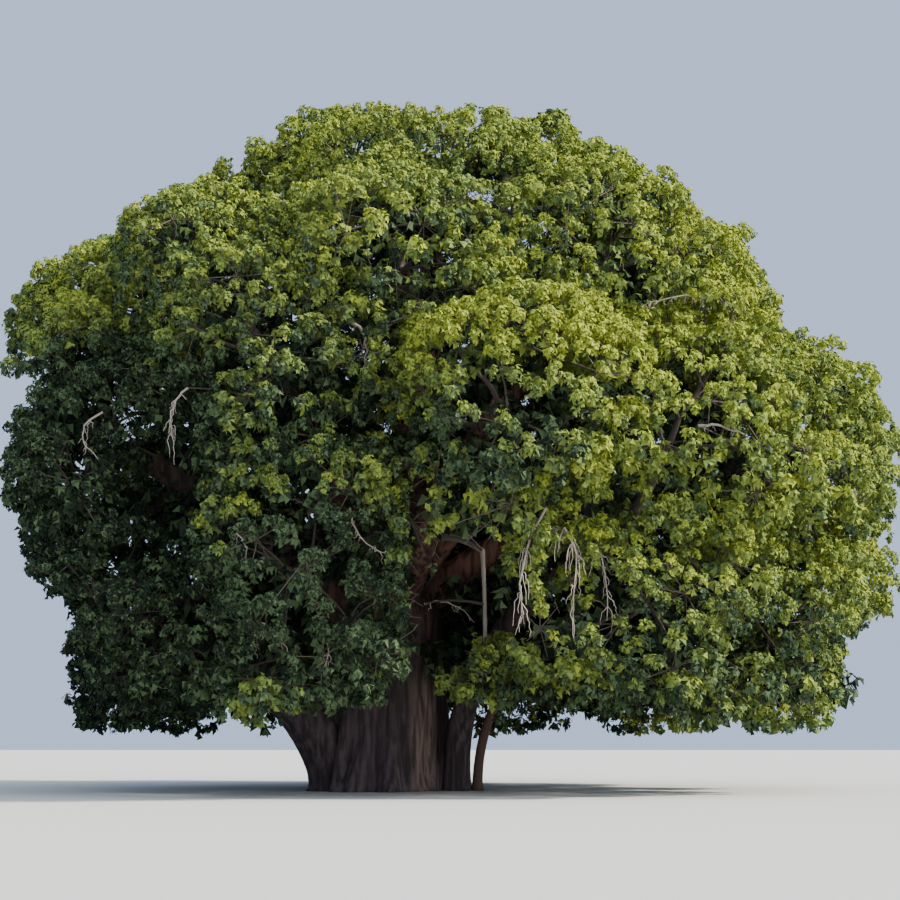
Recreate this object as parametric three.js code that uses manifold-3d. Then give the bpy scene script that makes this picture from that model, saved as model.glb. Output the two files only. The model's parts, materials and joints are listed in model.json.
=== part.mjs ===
// Baobab tree in full leaf: a thick trunk of fused stems, boughs that spread from its fork,
// and a wide domed crown whose outer masses hang down nearly to the ground all round it.
// Millimetres, +Z up. The origin is on the flat cut under the trunk, at ground level.
// The front of the tree faces -Y, and +X is to the right as seen from there.

import * as THREE from 'three';
import { mergeVertices } from 'three/addons/utils/BufferGeometryUtils.js';
import loadManifold from 'manifold-3d';

const solids = await loadManifold();
solids.setup();

// Driving dimensions. Lengths are in metres here, and shares are parts of one.
const METRE = 1000;
const CLEARANCE = 0.0003;
const CROWN_CENTRE_X = 1.7;
const CROWN_DEPTH_SHARE = 0.92;
const LUMP_SHARE = 0.1;
const MASS_DETAIL = 3;
const trunkSize = {
  centreX: -0.55,
  halfWidth: 1.85,
  halfDepth: 2.15,
  lean: 0.06,
  forkHeight: 7,
  flareHeight: 0.9,
  flareShare: 0.17,
  shoulderHeight: 5.2,
  shoulderShare: 0.62,
  furrows: 7,
  furrowShare: 0.07,
  furrowTwist: 0.35,
  sides: 28,
  steps: 6,
};
const boughShape = { rootReach: 0.9, rise: 2.4, outShare: 0.35, upShare: 0.7, tipShare: 0.5 };

// Finishes, as they look in late sun
const barkShaded = { color: 0x5d534b, roughness: 0.95, metalness: 0 };
const barkWarm = { color: 0x7a6250, roughness: 0.92, metalness: 0 };
const barkPale = { color: 0x8a8072, roughness: 0.9, metalness: 0 };
const sunny = { color: 0x7a9638, roughness: 0.8, metalness: 0 };
const green = { color: 0x587a2e, roughness: 0.82, metalness: 0 };
const shaded = { color: 0x3b5a26, roughness: 0.85, metalness: 0 };

// Rings of foliage round the crown's axis. A mass's half sizes run outwards from the axis,
// round it, and upwards. The underside is a share of the upward size.
const rings = {
  top: { height: 18.9, reach: 3.7, half: [4.2, 4.0, 3.3], underside: 0.75 },
  upper: { height: 15.1, reach: 8.3, half: [3.9, 3.7, 3.2], underside: 0.85 },
  middle: { height: 10.5, reach: 10.8, half: [3.6, 3.6, 3.7], underside: 1.0 },
  skirt: { height: 5.0, reach: 10.4, half: [2.8, 3.5, 3.3], underside: 1.0 },
};

// Each mass: its ring, its bearing in degrees from +X round the crown's axis, how far it
// stands out of the ring and above it, and its width and height beside the ring's
const masses = [
  { name: 'foliage_top_front', ring: 'top', bearing: -97, up: -1, wide: 1.1, leaf: sunny },
  { name: 'foliage_top_right', ring: 'top', bearing: 5, out: -1.2, up: -0.3, leaf: sunny },
  { name: 'foliage_top_back', ring: 'top', bearing: 92, up: -0.5, leaf: green },
  { name: 'foliage_top_left', ring: 'top', bearing: 180, out: 0.3, up: -0.1, leaf: green },
  { name: 'foliage_upper_front', ring: 'upper', bearing: -98, leaf: sunny },
  { name: 'foliage_upper_front_right', ring: 'upper', bearing: -55, out: -0.3, leaf: sunny },
  { name: 'foliage_upper_right', ring: 'upper', bearing: -10, out: -1.3, up: 0.4, leaf: sunny },
  { name: 'foliage_upper_back_right', ring: 'upper', bearing: 40, out: -1, up: 1.1, leaf: green },
  { name: 'foliage_upper_back', ring: 'upper', bearing: 85, leaf: green },
  {
    name: 'foliage_upper_back_left',
    ring: 'upper',
    bearing: 130,
    out: 0.4,
    up: -0.3,
    wide: 1.1,
    leaf: shaded,
  },
  { name: 'foliage_upper_left', ring: 'upper', bearing: 176, out: 2.1, leaf: green },
  { name: 'foliage_upper_front_left', ring: 'upper', bearing: -141, out: 0.9, leaf: green },
  { name: 'foliage_middle_front', ring: 'middle', bearing: -83, wide: 0.95, leaf: sunny },
  { name: 'foliage_middle_front_right', ring: 'middle', bearing: -53, leaf: sunny },
  { name: 'foliage_middle_right_front', ring: 'middle', bearing: -24, out: 0.2, up: -0.4, leaf: sunny },
  { name: 'foliage_middle_right', ring: 'middle', bearing: 8, out: 0.2, up: -0.5, tall: 1.1, leaf: sunny },
  { name: 'foliage_middle_right_back', ring: 'middle', bearing: 40, leaf: green },
  { name: 'foliage_middle_back_right', ring: 'middle', bearing: 72, leaf: green },
  { name: 'foliage_middle_back', ring: 'middle', bearing: 105, leaf: shaded },
  { name: 'foliage_middle_back_left', ring: 'middle', bearing: 138, leaf: shaded },
  { name: 'foliage_middle_left', ring: 'middle', bearing: 174, up: -0.9, tall: 1.1, leaf: shaded },
  { name: 'foliage_middle_left_front', ring: 'middle', bearing: -152, out: 0.3, up: -0.4, leaf: shaded },
  { name: 'foliage_middle_front_left', ring: 'middle', bearing: -117, up: 1.2, tall: 0.85, leaf: green },
  { name: 'foliage_skirt_front_left', ring: 'skirt', bearing: -114, up: 1.1, tall: 1.25, leaf: green },
  { name: 'foliage_skirt_front_right', ring: 'skirt', bearing: -58, up: 0.2, leaf: sunny },
  { name: 'foliage_skirt_right_front', ring: 'skirt', bearing: -28, leaf: sunny },
  { name: 'foliage_skirt_right', ring: 'skirt', bearing: 8, out: 1, up: 2.2, leaf: sunny },
  { name: 'foliage_skirt_right_back', ring: 'skirt', bearing: 46, leaf: green },
  { name: 'foliage_skirt_back_right', ring: 'skirt', bearing: 82, out: 0.8, leaf: shaded },
  { name: 'foliage_skirt_back', ring: 'skirt', bearing: 116, out: 0.8, up: 0.6, leaf: shaded },
  { name: 'foliage_skirt_back_left', ring: 'skirt', bearing: 150, leaf: shaded },
  { name: 'foliage_skirt_left', ring: 'skirt', bearing: -172, out: -0.6, up: 0.3, leaf: shaded },
  { name: 'foliage_skirt_left_front', ring: 'skirt', bearing: -143, leaf: shaded },
];

// A small mass that hangs before the trunk, from a limb that arches out of the fork and
// then drops from its elbow
const hangingMass = {
  name: 'foliage_hanging',
  centre: [2.75, -6.2, 3.35],
  half: [1.25, 1.45, 1.15],
  leaf: green,
};
const hangingLimb = { root: [0.9, -1.0, 7.6], bend: [1.6, -3.2, 8.0], elbow: [2.7, -5.6, 7.0] };

// The leader above the fork, and the stems that stand beside the trunk: each starts at its
// root, leans towards its bend and ends at its tip
const stems = [
  {
    name: 'stem_leader',
    root: [0.1, -0.3, 5.4],
    bend: [0.6, -0.6, 9.5],
    end: [1.2, 0.2, 18],
    radius: 1.0,
    tip: 0.3,
  },
  {
    name: 'stem_left',
    root: [-1.7, -0.7, 0],
    bend: [-1.9, -0.9, 2.7],
    end: [-8, -4.4, 6.4],
    radius: 0.85,
    tip: 0.4,
  },
  {
    name: 'stem_right',
    root: [1.95, -0.4, 0],
    bend: [1.75, -0.5, 5],
    end: [6.6, -7.2, 7.2],
    radius: 0.42,
    tip: 0.26,
  },
  {
    name: 'stem_right_slim',
    root: [2.62, -0.5, 0],
    bend: [2.55, -0.2, 5],
    end: [9.8, -3.2, 7.6],
    radius: 0.15,
    tip: 0.1,
  },
];

// Boughs leave the trunk or the leader at a height, rise, and arch over towards the mass
// that they carry
const trunkBoughs = [
  { name: 'bough_left', to: 'foliage_middle_left', height: 5.4, radius: 0.7 },
  { name: 'bough_left_front', to: 'foliage_middle_left_front', height: 4.6, radius: 0.62 },
  { name: 'bough_front_left', to: 'foliage_middle_front_left', height: 5.6, radius: 0.6 },
  { name: 'bough_front', to: 'foliage_middle_front', height: 5.2, radius: 0.5 },
  { name: 'bough_right_front', to: 'foliage_middle_right_front', height: 5.8, radius: 0.6 },
  { name: 'bough_right', to: 'foliage_middle_right', height: 5.0, radius: 0.68 },
  { name: 'bough_right_back', to: 'foliage_middle_right_back', height: 5.6, radius: 0.6 },
  { name: 'bough_back_right', to: 'foliage_middle_back_right', height: 4.9, radius: 0.58 },
  { name: 'bough_back', to: 'foliage_middle_back', height: 5.6, radius: 0.58 },
  { name: 'bough_back_left', to: 'foliage_middle_back_left', height: 4.8, radius: 0.6 },
];
const leaderBoughs = [
  { name: 'bough_upper_left', to: 'foliage_upper_left', height: 9.2, radius: 0.42 },
  { name: 'bough_upper_front', to: 'foliage_upper_front', height: 9.9, radius: 0.36 },
  { name: 'bough_upper_right', to: 'foliage_upper_right', height: 9.4, radius: 0.42 },
  { name: 'bough_upper_back', to: 'foliage_upper_back', height: 10.2, radius: 0.38 },
];

const at = (x, y, z) => new THREE.Vector3(x, y, z);
const upwardsAxis = at(0, 0, 1);

// Solids for cutting, in millimetres
function toSolid(geometry) {
  const bare = geometry.clone();
  bare.deleteAttribute('normal');
  bare.deleteAttribute('uv');
  const merged = mergeVertices(bare, 1e-3);
  return new solids.Manifold(new solids.Mesh({
    numProp: 3,
    vertProperties: new Float32Array(merged.attributes.position.array),
    triVerts: new Uint32Array(merged.index.array),
  }));
}

function toGeometry(solid) {
  const mesh = solid.getMesh();
  const geometry = new THREE.BufferGeometry();
  geometry.setAttribute('position', new THREE.BufferAttribute(mesh.vertProperties, 3));
  geometry.setIndex(new THREE.BufferAttribute(mesh.triVerts, 1));
  return geometry;
}

function largestBody(solid) {
  const bodies = solid.decompose();
  return bodies.reduce((best, body) => (body.volume() > best.volume() ? body : best));
}

// A block that fills everything beyond a plane
function blockBeyond(point, direction) {
  const side = 40 * METRE;
  const block = new THREE.BoxGeometry(side, side, side);
  block.translate(0, 0, side / 2);
  block.applyQuaternion(new THREE.Quaternion().setFromUnitVectors(upwardsAxis, direction));
  block.translate(point.x * METRE, point.y * METRE, point.z * METRE);
  return toSolid(block);
}

// Foliage

// Smooth unevenness on a unit sphere, the same for the same place and seed
function ripple({ x, y, z }, seed) {
  const broad = Math.sin(3.1 * x + 1.7 * seed) * Math.sin(2.7 * y + 2.3 * seed);
  const middling = Math.sin(5.3 * z + 3.9 * x + 0.9 * seed);
  const fine = Math.sin(6.1 * y - 4.3 * z + 1.3 * seed);
  return broad + 0.8 * middling + 0.6 * fine;
}

// Works out a mass's place and size from its ring
function placeMass(entry) {
  const ring = rings[entry.ring];
  const angle = THREE.MathUtils.degToRad(entry.bearing);
  const reach = ring.reach + (entry.out ?? 0);
  const [outwards, round, upwards] = ring.half;
  return {
    ...entry,
    angle,
    underside: ring.underside,
    half: [outwards, round * (entry.wide ?? 1), upwards * (entry.tall ?? 1)],
    centre: at(
      CROWN_CENTRE_X + reach * Math.cos(angle),
      reach * Math.sin(angle) * CROWN_DEPTH_SHARE,
      ring.height + (entry.up ?? 0),
    ),
  };
}

// A closed, uneven mass: a faceted sphere, lumped, stretched and turned outwards
function foliageGeometry({ centre, half, angle, underside }, seed) {
  const [outwards, round, upwards] = half;
  const geometry = new THREE.OctahedronGeometry(1, MASS_DETAIL);
  geometry.rotateX(seed);
  geometry.rotateY(0.7 * seed);
  const place = geometry.attributes.position;
  const point = new THREE.Vector3();
  for (let i = 0; i < place.count; i += 1) {
    point.fromBufferAttribute(place, i);
    point.multiplyScalar(1 + LUMP_SHARE * ripple(point, seed));
    const height = point.z * upwards * (point.z < 0 ? underside : 1);
    place.setXYZ(i, point.x * outwards, point.y * round, height);
  }
  geometry.rotateZ(angle);
  geometry.translate(centre.x, centre.y, centre.z);
  geometry.scale(METRE, METRE, METRE);
  return geometry;
}

// How far a mass reaches from its centre along a direction
function reachAlong({ half, angle }, direction) {
  const turned = direction.clone().applyAxisAngle(upwardsAxis, -angle);
  const [outwards, round, upwards] = half;
  return Math.hypot(turned.x * outwards, turned.y * round, turned.z * upwards);
}

// Cuts two masses that overlap apart on a plane between them, a clearance from each other
function partPair(placed, parted, i, j) {
  const direction = placed[j].centre.clone().sub(placed[i].centre);
  const distance = direction.length();
  direction.normalize();
  const first = reachAlong(placed[i], direction);
  const second = reachAlong(placed[j], direction);
  const meeting = distance * first / (first + second);
  const near = placed[i].centre.clone().addScaledVector(direction, meeting - CLEARANCE / 2);
  const far = placed[i].centre.clone().addScaledVector(direction, meeting + CLEARANCE / 2);
  parted[i] = parted[i].subtract(blockBeyond(near, direction));
  parted[j] = parted[j].subtract(blockBeyond(far, direction.clone().negate()));
}

function partMasses(placed) {
  const parted = placed.map((mass, index) => toSolid(foliageGeometry(mass, index + 1)));
  for (let i = 0; i < placed.length; i += 1) {
    for (let j = i + 1; j < placed.length; j += 1) {
      if (!parted[i].intersect(parted[j]).isEmpty()) {
        partPair(placed, parted, i, j);
      }
    }
  }
  return parted.map(largestBody);
}

// The same mass a clearance larger all round, to cut the limbs that enter it
function swollen(solid, { centre, half }) {
  const share = 1 + CLEARANCE / Math.min(...half);
  const geometry = toGeometry(solid);
  geometry.translate(-centre.x * METRE, -centre.y * METRE, -centre.z * METRE);
  geometry.scale(share, share, share);
  geometry.translate(centre.x * METRE, centre.y * METRE, centre.z * METRE);
  return toSolid(geometry);
}

// Wood

// The trunk's width at a height beside its width above the flare
function trunkShare(height) {
  const { flareShare, flareHeight, shoulderHeight, shoulderShare, forkHeight } = trunkSize;
  const flare = flareShare * Math.exp(-height / flareHeight);
  const shoulder = Math.max(0, height - shoulderHeight) / (forkHeight - shoulderHeight);
  return (1 + flare) * (1 - shoulderShare * shoulder * shoulder);
}

// An upright cylinder of unit radius and height, to be shaped
function unitCylinder(sides, steps) {
  const geometry = new THREE.CylinderGeometry(1, 1, 1, sides, steps);
  geometry.rotateX(Math.PI / 2);
  geometry.translate(0, 0, 0.5);
  return geometry;
}

// The fused trunk: furrowed between its stems, flared at the foot, rounded off at the fork.
// A skin makes it thicker all round.
function trunkGeometry(skin) {
  const { centreX, halfWidth, halfDepth, lean, furrows, furrowShare, furrowTwist } = trunkSize;
  const geometry = unitCylinder(trunkSize.sides, trunkSize.steps);
  const place = geometry.attributes.position;
  for (let i = 0; i < place.count; i += 1) {
    const x = place.getX(i);
    const y = place.getY(i);
    const up = place.getZ(i) * (trunkSize.forkHeight + skin);
    const furrow = furrowShare * Math.cos(furrows * Math.atan2(y, x) + furrowTwist * up);
    const share = trunkShare(up) * (1 + furrow);
    place.setXYZ(
      i,
      centreX + lean * up + x * (share * halfWidth + skin),
      y * (share * halfDepth + skin),
      up,
    );
  }
  return geometry.scale(METRE, METRE, METRE);
}

// A round limb that tapers along a path. A skin makes it thicker and longer.
function limbGeometry({ path, radius, tip, sides = 6, steps = 4 }, skin) {
  const geometry = unitCylinder(sides, steps);
  const frames = path.computeFrenetFrames(steps, false);
  const place = geometry.attributes.position;
  const point = new THREE.Vector3();
  for (let i = 0; i < place.count; i += 1) {
    const x = place.getX(i);
    const y = place.getY(i);
    const step = Math.round(place.getZ(i) * steps);
    const along = step / steps;
    const thickness = radius + (tip - radius) * along + skin;
    const pastEnd = (step === steps ? skin : 0) - (step === 0 ? skin : 0);
    path.getPointAt(along, point);
    point.addScaledVector(frames.tangents[step], pastEnd);
    point.addScaledVector(frames.normals[step], x * thickness);
    point.addScaledVector(frames.binormals[step], y * thickness);
    place.setXYZ(i, point.x, point.y, point.z);
  }
  return geometry.scale(METRE, METRE, METRE);
}

function bentPath(root, bend, end) {
  return new THREE.QuadraticBezierCurve3(at(...root), at(...bend), at(...end));
}

// A bough leaves its root upwards and outwards, then levels out towards its target
function archedPath(root, target) {
  const { rise, outShare, upShare } = boughShape;
  const reach = target.clone().sub(root);
  const lift = at(outShare * reach.x, outShare * reach.y, Math.max(rise, upShare * reach.z));
  return new THREE.QuadraticBezierCurve3(root, root.clone().add(lift), target);
}

function bough(entry, root, target) {
  return { ...entry, path: archedPath(root, target), tip: entry.radius * boughShape.tipShare };
}

function boughFromTrunk(entry, target) {
  const bearing = Math.atan2(target.y, target.x - trunkSize.centreX);
  const root = at(
    trunkSize.centreX + trunkSize.lean * entry.height + boughShape.rootReach * Math.cos(bearing),
    boughShape.rootReach * Math.sin(bearing),
    entry.height,
  );
  return bough(entry, root, target);
}

function boughFromLeader(entry, target, leader) {
  const start = leader.v0.z;
  const root = leader.getPointAt((entry.height - start) / (leader.v2.z - start));
  return bough(entry, root, target);
}

// The tree

const tree = new THREE.Group();

function addPiece(name, solid, finish) {
  const piece = new THREE.Mesh(toGeometry(solid), new THREE.MeshStandardMaterial(finish));
  piece.name = name;
  tree.add(piece);
}

const placedMasses = [
  ...masses.map(placeMass),
  { ...hangingMass, angle: 0, underside: 1, centre: at(...hangingMass.centre) },
];
const partedMasses = partMasses(placedMasses);
placedMasses.forEach((mass, index) => addPiece(mass.name, partedMasses[index], mass.leaf));

const targetOf = Object.fromEntries(placedMasses.map((mass) => [mass.name, mass.centre]));
const stemLimbs = stems.map((stem) => (
  { ...stem, path: bentPath(stem.root, stem.bend, stem.end), steps: 6 }
));
const leaderPath = stemLimbs[0].path;
const { root: hangingRoot, bend: hangingBend, elbow } = hangingLimb;
const limbs = [
  ...stemLimbs,
  { name: 'limb_hanging_upper', path: bentPath(hangingRoot, hangingBend, elbow), radius: 0.16, tip: 0.1 },
  {
    name: 'limb_hanging_lower',
    path: new THREE.LineCurve3(at(...elbow), targetOf.foliage_hanging),
    radius: 0.1,
    tip: 0.07,
  },
  ...trunkBoughs.map((entry) => boughFromTrunk(entry, targetOf[entry.to])),
  ...leaderBoughs.map((entry) => boughFromLeader(entry, targetOf[entry.to], leaderPath)),
];
const paleLimbs = ['stem_right_slim', 'limb_hanging_upper', 'limb_hanging_lower'];

// Each limb ends where it meets a mass, thicker wood or the ground
addPiece('trunk', toSolid(trunkGeometry(0)), barkShaded);
const cutters = [
  blockBeyond(at(0, 0, 0), at(0, 0, -1)),
  toSolid(trunkGeometry(CLEARANCE)),
  ...partedMasses.map((solid, index) => swollen(solid, placedMasses[index])),
];
for (const limb of limbs) {
  let solid = toSolid(limbGeometry(limb, 0));
  for (const cutter of cutters) {
    solid = solid.subtract(cutter);
  }
  addPiece(limb.name, largestBody(solid), paleLimbs.includes(limb.name) ? barkPale : barkWarm);
  cutters.push(toSolid(limbGeometry(limb, CLEARANCE)));
}

export default tree;
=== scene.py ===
import json
import math

import bpy
import numpy as np
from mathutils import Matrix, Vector
from mathutils.bvhtree import BVHTree
from mathutils.kdtree import KDTree


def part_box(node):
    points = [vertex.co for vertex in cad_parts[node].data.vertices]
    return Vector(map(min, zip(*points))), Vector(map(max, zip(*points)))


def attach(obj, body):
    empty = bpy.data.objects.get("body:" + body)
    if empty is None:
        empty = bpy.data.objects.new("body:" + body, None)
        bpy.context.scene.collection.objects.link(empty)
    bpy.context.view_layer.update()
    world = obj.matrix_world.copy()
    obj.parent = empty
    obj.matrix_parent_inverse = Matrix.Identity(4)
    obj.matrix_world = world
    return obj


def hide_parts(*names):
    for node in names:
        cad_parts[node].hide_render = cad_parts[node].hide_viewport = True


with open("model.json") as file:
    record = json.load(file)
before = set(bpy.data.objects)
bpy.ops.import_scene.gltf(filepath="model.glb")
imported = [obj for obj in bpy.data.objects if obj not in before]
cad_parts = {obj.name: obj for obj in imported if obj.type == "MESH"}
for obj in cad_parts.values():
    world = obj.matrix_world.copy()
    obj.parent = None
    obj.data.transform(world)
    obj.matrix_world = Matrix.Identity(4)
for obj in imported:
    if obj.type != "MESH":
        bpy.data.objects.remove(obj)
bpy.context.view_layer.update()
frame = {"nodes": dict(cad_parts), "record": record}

rng = np.random.default_rng(11)
UP = np.array([0.0, 0.0, 1.0])

# Camera: a standing person's eye, 60 m before the trunk, with the photo's framing. The horizon
# lies HORIZON_PX below the middle of the picture.
CAMERA_PLACE = np.array([1.76, -60.0, 1.5])
IMAGE_PX = 900
MIDDLE_PX = IMAGE_PX / 2
FOCAL_PX = 1875
HORIZON_PX = 292
SENSOR_MM = 36
PITCH = math.atan(HORIZON_PX / FOCAL_PX)
VIEW_LIMIT = 500

# The crown's axis, its depth as a share of its width, and the heights between which its core lies
CROWN_X = 1.7
CROWN_DEPTH_SHARE = 0.92
CORE_LOW = 6.5
CORE_HIGH = 12.0

# The trunk, as in the CAD model, and the rib at its front, painted as lit by the sun
TRUNK_X = -0.55
TRUNK_HALF = (1.85, 2.15)
TRUNK_LEAN = 0.06
FORK_HEIGHT = 7.0
RIB_X = 0.95

# Rings of foliage: height, reach, and masses, each with its bearing in degrees and how far it
# lies out of the ring and above it
RINGS = {
    "top": (18.9, 3.7, {
        "front": (-97, 0, -1), "right": (5, -1.2, -0.3), "back": (92, 0, -0.5),
        "left": (180, 0.3, -0.1),
    }),
    "upper": (15.1, 8.3, {
        "front": (-98, 0, 0), "front_right": (-55, -0.3, 0), "right": (-10, -1.3, 0.4),
        "back_right": (40, -1, 1.1), "back": (85, 0, 0), "back_left": (130, 0.4, -0.3),
        "left": (176, 2.1, 0), "front_left": (-141, 0.9, 0),
    }),
    "middle": (10.5, 10.8, {
        "front": (-83, 0, 0), "front_right": (-53, 0, 0), "right_front": (-24, 0.2, -0.4),
        "right": (8, 0.2, -0.5), "right_back": (40, 0, 0), "back_right": (72, 0, 0),
        "back": (105, 0, 0), "back_left": (138, 0, 0), "left": (174, 0, -0.9),
        "left_front": (-152, 0.3, -0.4), "front_left": (-117, 0, 1.2),
    }),
    "skirt": (5.0, 10.4, {
        "front_left": (-114, 0, 1.1), "front_right": (-58, 0, 0.2), "right_front": (-28, 0, 0),
        "right": (8, 1, 2.2), "right_back": (46, 0, 0), "back_right": (82, 0.8, 0),
        "back": (116, 0.8, 0.6), "back_left": (150, 0, 0), "left": (-172, -0.6, 0.3),
        "left_front": (-143, 0, 0),
    }),
}
PLACES = [f"{ring}_{side}" for ring, (_, _, sides) in RINGS.items() for side in sides]

# Stems and the arching limb: root, bend, end, radius at the root and at the tip
STEMS = {
    "stem_leader": ((0.1, -0.3, 5.4), (0.6, -0.6, 9.5), (1.2, 0.2, 18.0), 1.0, 0.3),
    "stem_left": ((-1.7, -0.7, 0), (-1.9, -0.9, 2.7), (-8, -4.4, 6.4), 0.85, 0.4),
    "stem_right": ((1.95, -0.4, 0), (1.75, -0.5, 5), (6.6, -7.2, 7.2), 0.42, 0.26),
    "stem_right_slim": ((2.62, -0.5, 0), (2.55, -0.2, 5), (9.8, -3.2, 7.6), 0.15, 0.1),
    "limb_hanging_upper": ((0.9, -1.0, 7.6), (1.6, -3.2, 8.0), (2.7, -5.6, 7.0), 0.16, 0.1),
    "limb_hanging_lower": ((2.7, -5.6, 7.0), (2.8, -5.9, 5.2), (2.75, -6.2, 3.35), 0.1, 0.07),
}

# Boughs: the height of each one's root and its radius there. Those named bough_upper grow from
# the leader, the others from the trunk, and each goes to the mass that its name says.
BOUGHS = {
    "bough_left": (5.4, 0.7), "bough_left_front": (4.6, 0.62), "bough_front_left": (5.6, 0.6),
    "bough_front": (5.2, 0.5), "bough_right_front": (5.8, 0.6), "bough_right": (5.0, 0.68),
    "bough_right_back": (5.6, 0.6), "bough_back_right": (4.9, 0.58), "bough_back": (5.6, 0.58),
    "bough_back_left": (4.8, 0.6), "bough_upper_left": (9.2, 0.42),
    "bough_upper_front": (9.9, 0.36), "bough_upper_right": (9.4, 0.42),
    "bough_upper_back": (10.2, 0.38),
}


# Small helpers


def unit(v):
    return v / np.maximum(np.linalg.norm(v, axis=-1, keepdims=True), 1e-9)


def spun(first, second, angle):
    """Directions at an angle from the first towards the second of two directions."""
    first, second = first[..., None, :], second[..., None, :]
    return first * np.cos(angle)[..., None] + second * np.sin(angle)[..., None]


def noise(p):
    """Smooth noise from 0 to 1 at each point."""
    cell = np.floor(p).astype(np.int64)
    part = p - cell
    part = part * part * (3 - 2 * part)
    total = np.zeros(len(p))
    for corner in range(8):
        step = np.array([corner & 1, corner >> 1 & 1, corner >> 2])
        weight = np.prod(np.where(step == 1, part, 1 - part), axis=1)
        c = cell + step
        n = (c[:, 0] * 73856093 ^ c[:, 1] * 19349663 ^ c[:, 2] * 83492791) & 0x7FFFFFFF
        n = (n * 1103515245 + 12345) & 0x7FFFFFFF
        n = ((n ^ n >> 15) * 747796405) & 0x7FFFFFFF
        n = (n ^ n >> 13) & 0xFFFFF
        total += weight * (n / 0xFFFFF)
    return total


def ridged(p):
    """Noise with sharp ridges at 1."""
    return 1 - np.abs(2 * noise(p) - 1)


def ray(px, py):
    """The direction from the camera through a pixel of the photo."""
    forward = np.array([0, math.cos(PITCH), math.sin(PITCH)])
    above = np.array([0, -math.sin(PITCH), math.cos(PITCH)])
    right = np.array([1.0, 0, 0])
    return forward + right * (px - MIDDLE_PX) / FOCAL_PX - above * (py - MIDDLE_PX) / FOCAL_PX


def at_pixel(px, py, y):
    """The point seen at a pixel, at the depth y."""
    d = ray(px, py)
    return CAMERA_PLACE + d * (y - CAMERA_PLACE[1]) / d[1]


def to_pixel(points):
    """The pixels of the photo at which points are seen."""
    v = points - CAMERA_PLACE
    away = v[:, 1] * math.cos(PITCH) + v[:, 2] * math.sin(PITCH)
    above = -v[:, 1] * math.sin(PITCH) + v[:, 2] * math.cos(PITCH)
    return MIDDLE_PX + FOCAL_PX * v[:, 0] / away, MIDDLE_PX - FOCAL_PX * above / away


def in_ellipse(px, py, x, y, rx, ry):
    """0 at the middle of an ellipse, 1 at its edge, and more outside."""
    return ((px - x) / rx) ** 2 + ((py - y) / ry) ** 2


def tree_of(points, keys):
    """A search tree over points that answers with their keys."""
    tree = KDTree(len(points))
    for p, key in zip(points, keys):
        tree.insert(p, key)
    tree.balance()
    return tree


def thin_out(points, spacing):
    """The indices of a random choice of points that lie at least spacing apart."""
    tree = tree_of(points, range(len(points)))
    free = np.ones(len(points), bool)
    kept = []
    for i in rng.permutation(len(points)):
        if free[i]:
            kept.append(i)
            for _, j, _ in tree.find_range(points[i], spacing):
                free[j] = False
    return np.array(kept)


def thinned(index, points, spacing):
    """The part of an index whose points lie at least spacing apart."""
    return index[thin_out(points[index], spacing)]


def nearest(points, targets):
    """For each point, the index of the nearest target."""
    tree = tree_of(targets, range(len(targets)))
    return np.array([tree.find(p)[1] for p in points])


def add_object(name, data):
    obj = bpy.data.objects.new(name, data)
    bpy.context.scene.collection.objects.link(obj)
    return obj


class Pile:
    """Triangles of one kind, piled up to be one mesh."""

    def __init__(self):
        self.verts = []
        self.tris = []
        self.looks = []
        self.count = 0

    def add(self, verts, tris, look):
        self.verts.append(verts.reshape(-1, 3))
        self.tris.append(tris.reshape(-1, 3) + self.count)
        self.looks.append(np.broadcast_to(look, len(self.tris[-1])))
        self.count += len(self.verts[-1])

    def joined(self):
        return (np.concatenate(part) for part in (self.verts, self.tris, self.looks))

    def mesh(self, name, materials, smooth):
        verts, tris, looks = self.joined()
        mesh = bpy.data.meshes.new(name)
        mesh.vertices.add(len(verts))
        mesh.vertices.foreach_set("co", verts.astype(np.float32).ravel())
        mesh.loops.add(len(tris) * 3)
        mesh.loops.foreach_set("vertex_index", tris.astype(np.int32).ravel())
        mesh.polygons.add(len(tris))
        mesh.polygons.foreach_set("loop_start", np.arange(0, 3 * len(tris), 3, dtype=np.int32))
        mesh.polygons.foreach_set("material_index", looks.astype(np.int32))
        mesh.polygons.foreach_set("use_smooth", np.full(len(tris), smooth))
        for material in materials:
            mesh.materials.append(material)
        mesh.update(calc_edges=True)
        return add_object(name, mesh)


# Limbs

# How a bough leaves the trunk and bends: metres out of its middle, and shares of its reach
ROOT_REACH = 0.9
BEND_OUT = 0.35
BEND_UP = 0.7
LEAST_RISE = 2.4

# How fine the bark relief of the limbs is
RIDGES_PER_METRE = 5
RIDGE_STRETCH = 0.7


def curve(t, root, bend, end):
    """Points at the shares t of a curve from root to end, bent towards bend."""
    return (1 - t) ** 2 * root + 2 * t * (1 - t) * bend + t**2 * end


def bezier(root, bend, end, count):
    """A line of evenly shared points of a curve."""
    root, bend, end = (np.asarray(v, float) for v in (root, bend, end))
    return curve(np.linspace(0, 1, count)[:, None], root, bend, end)


def mass_centre(place):
    """The middle of a mass of foliage, as in the CAD model."""
    ring, side = place.split("_", 1)
    height, reach, masses_here = RINGS[ring]
    bearing, out, above = masses_here[side]
    angle = math.radians(bearing)
    x = CROWN_X + (reach + out) * math.cos(angle)
    y = CROWN_DEPTH_SHARE * (reach + out) * math.sin(angle)
    return np.array([x, y, height + above])


def mass_of(bough):
    """The mass that a bough goes to, in the upper ring or the middle one."""
    side = bough.removeprefix("bough_")
    return side if side.startswith("upper") else "middle_" + side


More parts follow.
